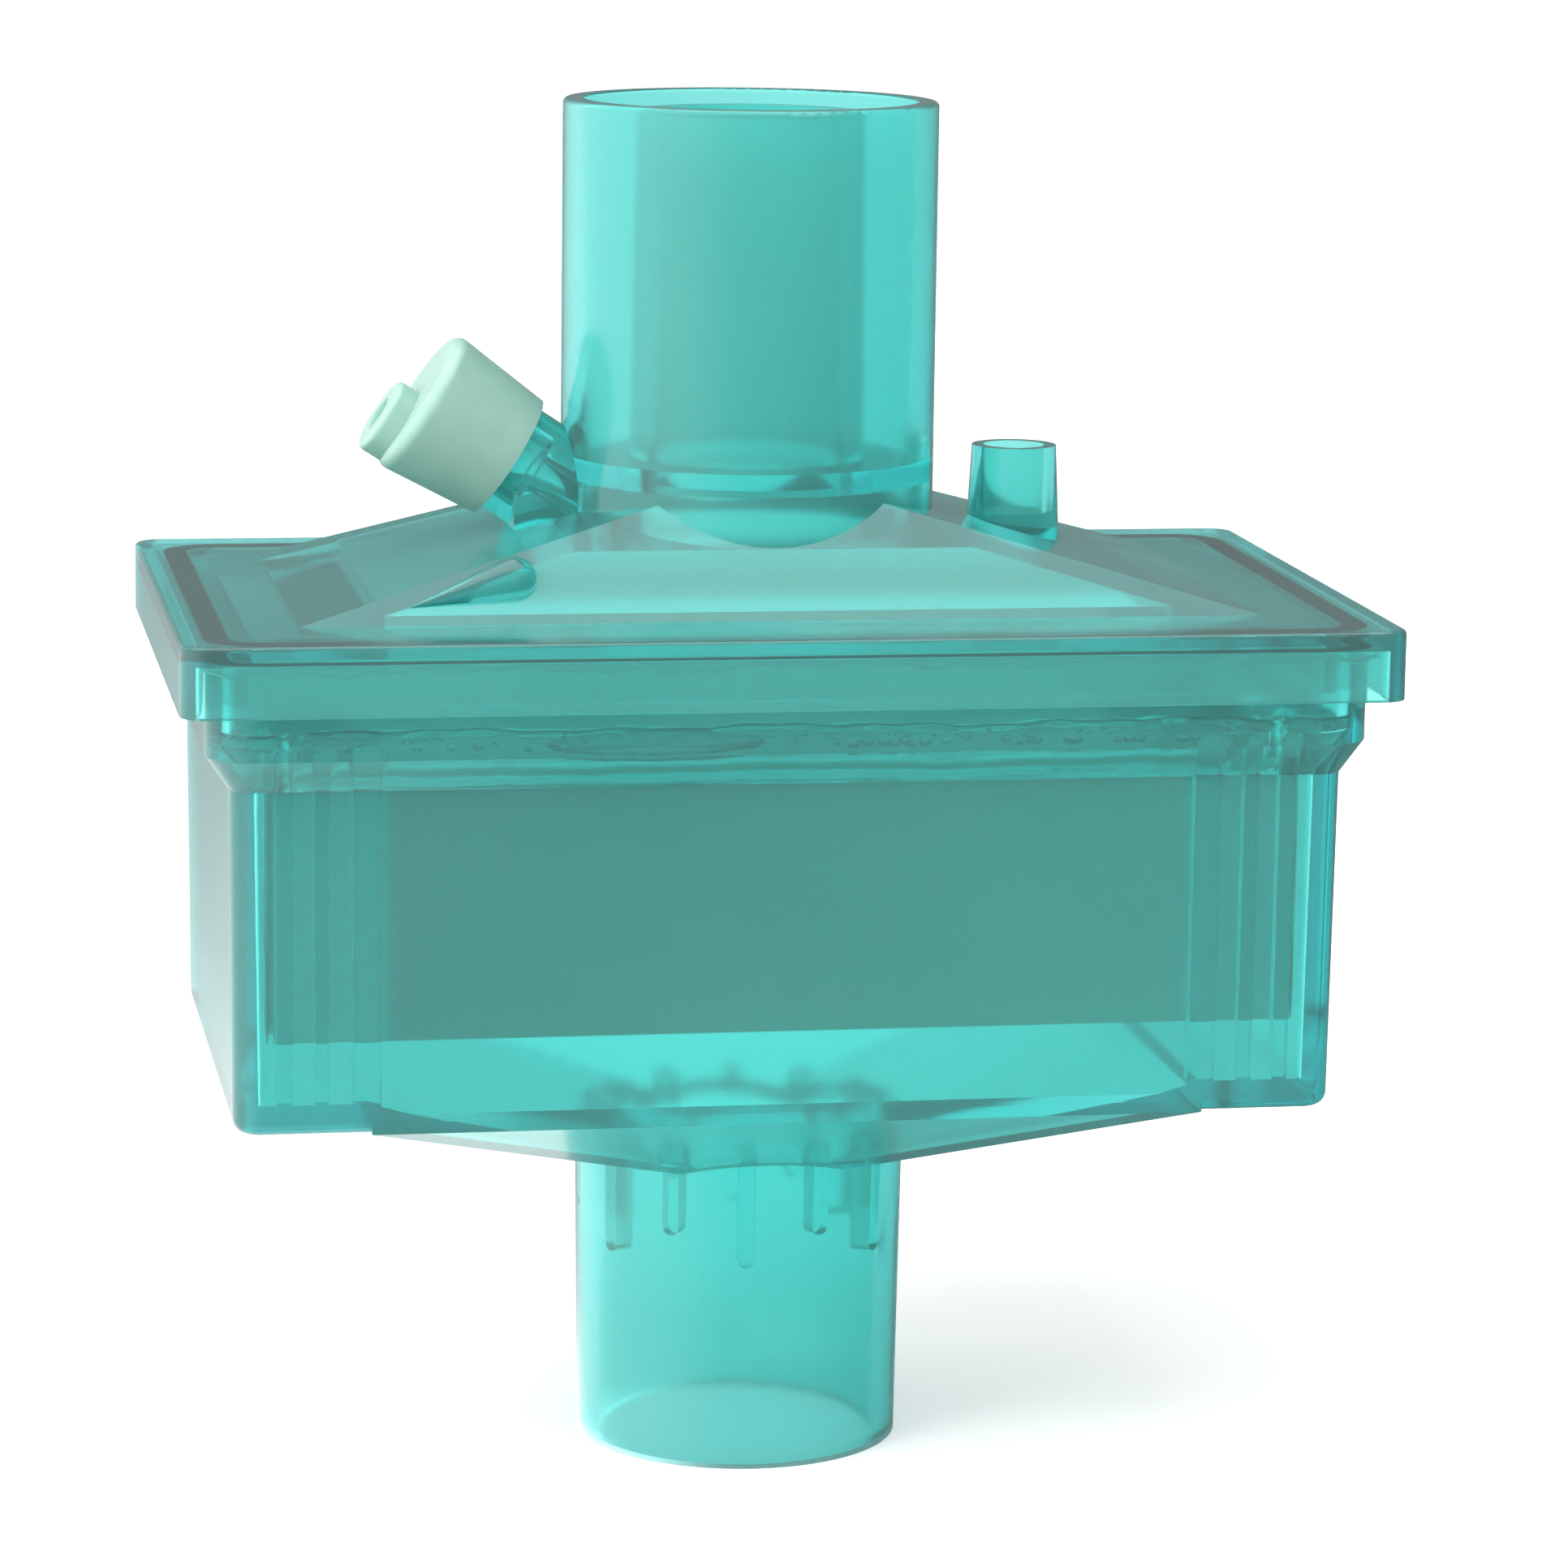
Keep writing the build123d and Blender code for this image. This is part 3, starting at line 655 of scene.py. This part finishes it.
def end_glue(node, name, seed):
    """A plate in the node's box: its two faces are the same grid along Y and Z, each half the thickness
    from the middle in X, and a band of faces joins their borders."""
    low, high = box_in_mm(node)
    draw = np.random.default_rng(seed)
    along = np.linspace(0, 1, END_COLUMNS)[None, :]
    above = np.linspace(0, 1, END_ROWS)[:, None]
    rim = (1 - np.abs(2 * along - 1) ** RIM_POWERS[0]) * (1 - np.abs(2 * above - 1) ** RIM_POWERS[1])
    starts = draw.uniform(0, 2 * math.pi, 3)
    daub = (np.sin(9 * along + 5 * above + starts[0]) + np.sin(23 * along - 11 * above + starts[1])
            + np.sin(4 * along + 17 * above + starts[2])) / 3
    half = (high[0] - low[0]) / 2
    thickness = half * (RIM_SHARE + CROWN_SHARE * rim) + half * DAUB_SHARE * daub * rim
    middle = (low[0] + high[0]) / 2
    y = low[1] + (high[1] - low[1]) * along + 0 * above
    z = low[2] + (high[2] - low[2]) * above + 0 * along
    front = np.stack([middle - thickness, y, z], axis=-1).reshape(-1, 3)
    back = np.stack([middle + thickness, y, z], axis=-1).reshape(-1, 3)
    count = END_ROWS * END_COLUMNS
    face = grid_faces(END_ROWS, END_COLUMNS, False, False)
    border = np.concatenate([np.arange(END_COLUMNS), np.arange(1, END_ROWS) * END_COLUMNS + END_COLUMNS - 1,
                             count - 2 - np.arange(END_COLUMNS - 1),
                             np.arange(END_ROWS - 2, 0, -1) * END_COLUMNS])
    after = np.roll(border, -1)
    rim_faces = np.stack([border, border + count, after + count, after], axis=-1)
    piece = make_piece(name, np.vstack([front, back]), [np.vstack([face, face[:, ::-1] + count, rim_faces])])
    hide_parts(node)
    return piece


end_glue_left = end_glue("end_seal_left", "end_glue_left", 41)
end_glue_right = end_glue("end_seal_right", "end_glue_right", 42)

# %% [markdown]
# The lid is welded to the box by ultrasound, which melts a thin line of plastic into the gap between the
# box's flange and the lid's skirt. It shows as an uneven thread just under the lid. It is a ring with an
# oval section whose height and drop wander along the outline.

# %% Weld flash
lid_high = box_in_mm("upper_housing")[1]
tub_high = box_in_mm("lower_housing")[1]
SKIRT_WALL = 1.2
FLASH_SECTION_POINTS = 10
FLASH_BELOW_FLANGE = 0.18
FLASH_HALF_WIDTH = 0.17
FLASH_RISE, FLASH_DROP = 0.14, 0.42
FLASH_DROP_LIMITS = (0.12, 0.85)
FLASH_CORNER = 1.9


def weld_flash_surface():
    """The flash's grid: an ellipse round the middle line of the gap, whose lower half hangs further down
    where the weld ran, so its height is the upper radius above and a wandering one below."""
    gap = lid_high[0] - SKIRT_WALL - tub_high[0]
    middle_x, middle_y = tub_high[0] + gap / 2, tub_high[1] + gap / 2
    turn_about = np.linspace(0, 2 * math.pi, FLASH_SECTION_POINTS, endpoint=False)[:, None]
    run = np.clip(FLASH_DROP + waver(51, (11, 31, 67, 127), (0.14, 0.12, 0.10, 0.08)), *FLASH_DROP_LIMITS)
    half_width = FLASH_HALF_WIDTH + waver(52, (17, 47, 97), (0.02, 0.02, 0.015))
    drop = np.where(np.sin(turn_about) < 0, run, FLASH_RISE)
    centre_height = tub_high[2] - FLASH_BELOW_FLANGE
    out = half_width * np.cos(turn_about)
    x, y = round_rectangle(middle_x + out, middle_y + out, FLASH_CORNER + out)
    return np.stack([x, y, centre_height + drop * np.sin(turn_about)], axis=-1)


weld_flash = make_piece("weld_flash", weld_flash_surface().reshape(-1, 3),
                        [grid_faces(FLASH_SECTION_POINTS, COURSE_POINTS, True, True)])

# %% [markdown]
# The box and the lid are a styrene copolymer, the usual clear plastic of such filters, tinted turquoise and
# injection moulded with a gloss finish. To the eye it is not glass: it scatters a little light everywhere,
# which gives it a soft body colour, and its thick edges turn a deep teal. A glass shader alone would be too
# clear and a matt one too dull. So the shader lets most of the light through, slightly blurred, and keeps
# the rest as body colour, and an absorbing inside deepens the colour with the length of plastic that the
# light crosses. That last step is what makes edges darker than walls: a tint on the surface alone would
# colour a thin wall and a thick edge alike. Styrene's own index is about 1.57. Here it was lowered until
# the walls' mirrors were as weak as in the photograph.
#
# A Mix node holds sockets for numbers, vectors and colours side by side, under the same few names, so its
# colour sockets are called by number, and the first code cell gives those numbers names.

# %% Scales and sockets that the materials share
MIX_FACTOR, MIX_FROM, MIX_TO = 0, 6, 7
MIXED = 2


def per_metre(length_mm):
    """The scale of a pattern whose features are as long as a length in millimetres."""
    return 1 / (length_mm * MM)


print("a pattern of 2 mm has a scale of", per_metre(2))

# %% Tinted clear styrene
STYRENE_ABSORPTION = {"red": 270.0, "green": 12.0, "blue": 10.0}
STYRENE_IOR = 1.38
STYRENE_CLEARNESS = 0.85
MELT_FLOW_MM = 16
SINK_MM = 22


def styrene_inside(tree):
    """Absorption per metre of plastic, as the strongest of the three and a colour that holds the rest."""
    strongest = max(STYRENE_ABSORPTION.values())
    colour = [1 - STYRENE_ABSORPTION[part] / strongest for part in ("red", "green", "blue")] + [1]
    return add_node(tree, "ShaderNodeVolumeAbsorption", {"Color": colour, "Density": strongest})


def make_styrene():
    """Tinted clear plastic: the melt's flow varies its tone and gloss, and slow cooling dents its skin."""
    material, tree = new_material("tinted_clear_styrene")
    place = add_node(tree, "ShaderNodeTexCoord")
    sink = add_node(tree, "ShaderNodeTexNoise", {"Scale": per_metre(SINK_MM), "Detail": 1.0},
                    {"Vector": (place, "Object")})
    bump = add_node(tree, "ShaderNodeBump", {"Strength": 0.06, "Distance": 0.0003}, {"Height": (sink, 0)})
    flow = add_node(tree, "ShaderNodeTexNoise", {"Scale": per_metre(MELT_FLOW_MM), "Detail": 1.0},
                    {"Vector": (place, "Object")})
    tone = add_node(tree, "ShaderNodeMix", {MIX_FROM: linear("98ECE7"), MIX_TO: linear("A8F2ED")},
                    {MIX_FACTOR: (flow, 0)}, data_type="RGBA")
    gloss = add_node(tree, "ShaderNodeMapRange", {"To Min": 0.12, "To Max": 0.16}, {"Value": (flow, 0)})
    plastic = add_node(tree, "ShaderNodeBsdfPrincipled",
                       {"IOR": STYRENE_IOR, "Transmission Weight": STYRENE_CLEARNESS},
                       {"Base Color": (tone, MIXED), "Roughness": (gloss, 0), "Normal": (bump, 0)})
    inside = styrene_inside(tree)
    add_node(tree, "ShaderNodeOutputMaterial", links={"Surface": (plastic, 0), "Volume": (inside, 0)})
    return material


styrene = make_styrene()
for name in ("upper_housing", "lower_housing"):
    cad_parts[name].material_slots[0].material = styrene
weld_flash.data.materials.append(styrene)
print("styrene keeps", round(math.exp(-STYRENE_ABSORPTION["red"] * 1.5 * MM), 2), "of red in a 1.5 mm wall")

# %% [markdown]
# The cap of the sampling port is polyethylene, a soft milky plastic with a waxy satin skin. Light enters it
# and spreads, so its shadow side stays bright. Subsurface scattering is what does that, and a clear shader
# would show the neck below far too sharply.

# %% Milky polyethylene of the cap
MILK_SPREAD_MM = 1.2
WAX_GRAIN_MM = 1.6


def make_polyethylene():
    """Milky plastic: light spreads in it by about a wall's thickness, and a waxy grain dulls its gloss."""
    material, tree = new_material("milky_polyethylene")
    place = add_node(tree, "ShaderNodeTexCoord")
    grain = add_node(tree, "ShaderNodeTexNoise", {"Scale": per_metre(WAX_GRAIN_MM), "Detail": 3.0},
                     {"Vector": (place, "Object")})
    tone = add_node(tree, "ShaderNodeMix", {MIX_FROM: linear("98C0B2"), MIX_TO: linear("ACCEC2")},
                    {MIX_FACTOR: (grain, 0)}, data_type="RGBA")
    satin = add_node(tree, "ShaderNodeMapRange", {"To Min": 0.36, "To Max": 0.50}, {"Value": (grain, 0)})
    bump = add_node(tree, "ShaderNodeBump", {"Strength": 0.15, "Distance": 0.0001}, {"Height": (grain, 0)})
    milk = add_node(tree, "ShaderNodeBsdfPrincipled",
                    {"IOR": 1.51, "Subsurface Weight": 0.6, "Subsurface Scale": MILK_SPREAD_MM * MM,
                     "Subsurface Radius": (0.8, 1.0, 0.9)},
                    {"Base Color": (tone, MIXED), "Roughness": (satin, 0), "Normal": (bump, 0)})
    add_node(tree, "ShaderNodeOutputMaterial", links={"Surface": (milk, 0)})
    return material


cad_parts["luer_cap"].material_slots[0].material = make_polyethylene()
print("light spreads", MILK_SPREAD_MM, "mm in the cap")

# %% [markdown]
# The filter paper is matted glass fibre, off-white and quite matt. Its folds are seen through the box, but
# its last leg lies close behind the front wall, where it is wet with adhesive at both ends. Elsewhere that
# leg has the box's shade painted into its colour: painted shade in grey-green, with painted light that makes
# it lighter to the right, so it reads as a grey-green panel with teal ends. One material holds all of this,
# because it is one sheet: places along the object say where each tone belongs.

# %% Glass-fibre paper
FIBRE_MM = 1.1
LAST_LEG_FROM_MM, LAST_LEG_TO_MM = 17.0, 17.4
SOAKED_FROM_MM, SOAKED_TO_MM = 25.2, 27.2
PAINTED_LIGHT_REACH_MM = 30


def make_paper():
    """Matt fibre paper: pale folds, a last leg with painted grey-green shade and painted light that makes it
    lighter to the right, and soaked ends.
    """
    material, tree = new_material("pleated_glass_fibre_paper")
    place = add_node(tree, "ShaderNodeTexCoord")
    parts = add_node(tree, "ShaderNodeSeparateXYZ", links={0: (place, "Object")})
    off_middle = add_node(tree, "ShaderNodeMath", links={0: (parts, "X")}, operation="ABSOLUTE")
    soaked = add_node(tree, "ShaderNodeMapRange",
                      {"From Min": SOAKED_FROM_MM * MM, "From Max": SOAKED_TO_MM * MM},
                      {"Value": (off_middle, 0)}, interpolation_type="SMOOTHSTEP")
    off_front = add_node(tree, "ShaderNodeMath", links={0: (parts, "Y")}, operation="ABSOLUTE")
    # Painted shade: this mask picks the last leg, whose colour is painted darker as the box's shade.
    painted_shade_mask = add_node(tree, "ShaderNodeMapRange",
                        {"From Min": LAST_LEG_FROM_MM * MM, "From Max": LAST_LEG_TO_MM * MM},
                        {"Value": (off_front, 0)})
    across = add_node(tree, "ShaderNodeMapRange",
                      {"From Min": -PAINTED_LIGHT_REACH_MM * MM, "From Max": PAINTED_LIGHT_REACH_MM * MM},
                      {"Value": (parts, "X")})
    fibre = add_node(tree, "ShaderNodeTexNoise", {"Scale": per_metre(FIBRE_MM), "Detail": 4.0},
                     {"Vector": (place, "Object")})
    # Painted shade and painted light: the last leg's grey-green, lighter towards the right.
    shade = add_node(tree, "ShaderNodeMix", {MIX_FROM: linear("7C8478"), MIX_TO: linear("B2B4A2")},
                     {MIX_FACTOR: (across, 0)}, data_type="RGBA")
    folds = add_node(tree, "ShaderNodeMix", {MIX_FROM: linear("E0E8E2"), MIX_TO: linear("F0F5F0")},
                     {MIX_FACTOR: (fibre, 0)}, data_type="RGBA")
    dry_with_painted_shade = add_node(tree, "ShaderNodeMix", data_type="RGBA",
                   links={MIX_FACTOR: (painted_shade_mask, 0), MIX_FROM: (folds, MIXED), MIX_TO: (shade, MIXED)})
    wet = add_node(tree, "ShaderNodeMix", {MIX_FROM: linear("0CB8B2"), MIX_TO: linear("14C8C2")},
                   {MIX_FACTOR: (fibre, 0)}, data_type="RGBA")
    tone = add_node(tree, "ShaderNodeMix", data_type="RGBA",
                    links={MIX_FACTOR: (soaked, 0), MIX_FROM: (dry_with_painted_shade, MIXED), MIX_TO: (wet, MIXED)})
    bump = add_node(tree, "ShaderNodeBump", {"Strength": 0.4, "Distance": 0.0001}, {"Height": (fibre, 0)})
    matt = add_node(tree, "ShaderNodeMapRange", {"To Min": 0.95, "To Max": 0.5}, {"Value": (soaked, 0)})
    sheet = add_node(tree, "ShaderNodeBsdfPrincipled", {"IOR": 1.5},
                     {"Base Color": (tone, MIXED), "Roughness": (matt, 0), "Normal": (bump, 0)})
    add_node(tree, "ShaderNodeOutputMaterial", links={"Surface": (sheet, 0)})
    return material


pleated_paper.data.materials.append(make_paper())
print("last leg of the sheet starts", LAST_LEG_FROM_MM, "mm from the middle")

# %% [markdown]
# The adhesive is poured clear and takes the colour of the box round it. It set with a glossy skin that
# ripples a little. It is nearly the same shader as the plastic, with less body and no absorption, so that
# the bubbles in it show.

# %% Poured clear adhesive
RIPPLE_MM = 3.3


def make_adhesive():
    """Clear glue with a rippled skin: the ripples vary its tone, its gloss and its slope."""
    material, tree = new_material("poured_clear_adhesive")
    place = add_node(tree, "ShaderNodeTexCoord")
    ripple = add_node(tree, "ShaderNodeTexNoise", {"Scale": per_metre(RIPPLE_MM), "Detail": 2.0},
                      {"Vector": (place, "Object")})
    tone = add_node(tree, "ShaderNodeMix", {MIX_FROM: linear("7FEAE6"), MIX_TO: linear("B4FFFB")},
                    {MIX_FACTOR: (ripple, 0)}, data_type="RGBA")
    gloss = add_node(tree, "ShaderNodeMapRange", {"To Min": 0.03, "To Max": 0.07}, {"Value": (ripple, 0)})
    bump = add_node(tree, "ShaderNodeBump", {"Strength": 0.12, "Distance": 0.0002}, {"Height": (ripple, 0)})
    glue = add_node(tree, "ShaderNodeBsdfPrincipled", {"IOR": STYRENE_IOR, "Transmission Weight": 0.93},
                    {"Base Color": (tone, MIXED), "Roughness": (gloss, 0), "Normal": (bump, 0)})
    add_node(tree, "ShaderNodeOutputMaterial", links={"Surface": (glue, 0)})
    return material


adhesive = make_adhesive()
for piece in (poured_seal, end_glue_left, end_glue_right):
    piece.data.materials.append(adhesive)
print("adhesive on 3 pieces")

# %% [markdown]
# A bubble in clear glue mirrors the light above it, so its upper side is a bright crescent, and it bends the
# light from below away, so its underside is dark. A clear shader of air would be the true way, but inside
# two other clear layers such small bubbles hardly showed. The skin here is opaque instead, with a painted
# highlight and painted shade: its tone follows how far its surface faces up, which paints a bright top and
# a dark underside.

# %% Air bubbles in the adhesive
PAINTED_HIGHLIGHT_FROM, PAINTED_HIGHLIGHT_TO = -0.2, 0.45
BUBBLE_FILM_MM = 0.5


def make_painted_bubble_light():
    """Bubble skin: painted shade as a dark teal underside, a painted highlight as a white crescent on top,
    and a film that varies both a little.
    """
    material, tree = new_material("bubble_painted_highlight_and_shade")
    place = add_node(tree, "ShaderNodeTexCoord")
    facing = add_node(tree, "ShaderNodeSeparateXYZ", links={0: (place, "Normal")})
    film = add_node(tree, "ShaderNodeTexNoise", {"Scale": per_metre(BUBBLE_FILM_MM), "Detail": 1.0},
                    {"Vector": (place, "Object")})
    # Painted light: faces that look up get the painted highlight, faces that look down the painted shade.
    upper = add_node(tree, "ShaderNodeMapRange", {"From Min": PAINTED_HIGHLIGHT_FROM, "From Max": PAINTED_HIGHLIGHT_TO},
                     {"Value": (facing, "Z")}, interpolation_type="SMOOTHSTEP")
    under = add_node(tree, "ShaderNodeMix", {MIX_FROM: linear("047A78"), MIX_TO: linear("0A9490")},
                     {MIX_FACTOR: (film, 0)}, data_type="RGBA")
    over = add_node(tree, "ShaderNodeMix", {MIX_FROM: linear("D6F6F2"), MIX_TO: linear("F2FFFD")},
                    {MIX_FACTOR: (film, 0)}, data_type="RGBA")
    tone = add_node(tree, "ShaderNodeMix", data_type="RGBA",
                    links={MIX_FACTOR: (upper, 0), MIX_FROM: (under, MIXED), MIX_TO: (over, MIXED)})
    gloss = add_node(tree, "ShaderNodeMapRange", {"To Min": 0.05, "To Max": 0.15}, {"Value": (film, 0)})
    skin = add_node(tree, "ShaderNodeBsdfPrincipled", {"IOR": 1.8},
                    {"Base Color": (tone, MIXED), "Roughness": (gloss, 0)})
    add_node(tree, "ShaderNodeOutputMaterial", links={"Surface": (skin, 0)})
    return material


seal_bubbles.data.materials.append(make_painted_bubble_light())
print("materials:", sorted(material.name for material in bpy.data.materials if material.users))

# %% [markdown]

# %% Finish
print("scene finished")
